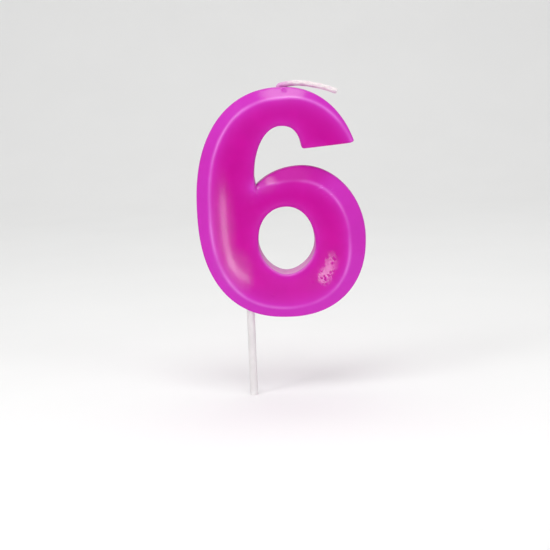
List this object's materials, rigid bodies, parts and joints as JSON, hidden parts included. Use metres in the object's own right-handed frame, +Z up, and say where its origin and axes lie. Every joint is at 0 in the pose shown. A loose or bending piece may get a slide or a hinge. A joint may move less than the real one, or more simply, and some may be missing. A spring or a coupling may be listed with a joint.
{
  "type": "number birthday candle",
  "caption": "Moulded wax numeral candle in the shape of a 6, with a wick at the top, on a round pick that pushes into a cake.",
  "frame": {"origin": "on the pick's axis, where it enters the top of the cake", "axes": "+Z up along the pick, -Y the way the numeral's front looks, +X to the right as it is read"},
  "size_m": [0.0492, 0.012, 0.1207],
  "materials": {
    "wax": "satin",
    "pick": "satin",
    "wick_dyed": "matte",
    "wick": "matte"
  },
  "bodies": {
    "pick": {"pick": "pick"},
    "numeral": {"wax_numeral": "wax", "wick_embedded": "wick_dyed"},
    "wick_end": {"wick_free_end": "wick"}
  },
  "joints": [
    {"name": "numeral_off_pick", "type": "slide", "parent": "pick", "child": "numeral", "axis": [0, 0, 1], "range_m": [0, 0.027]},
    {"name": "wick_bend", "type": "hinge", "parent": "numeral", "child": "wick_end", "pos_m": [0.0109, 0, 0.0912], "axis": [0, -1, 0], "range_deg": [0, 68]}
  ]
}
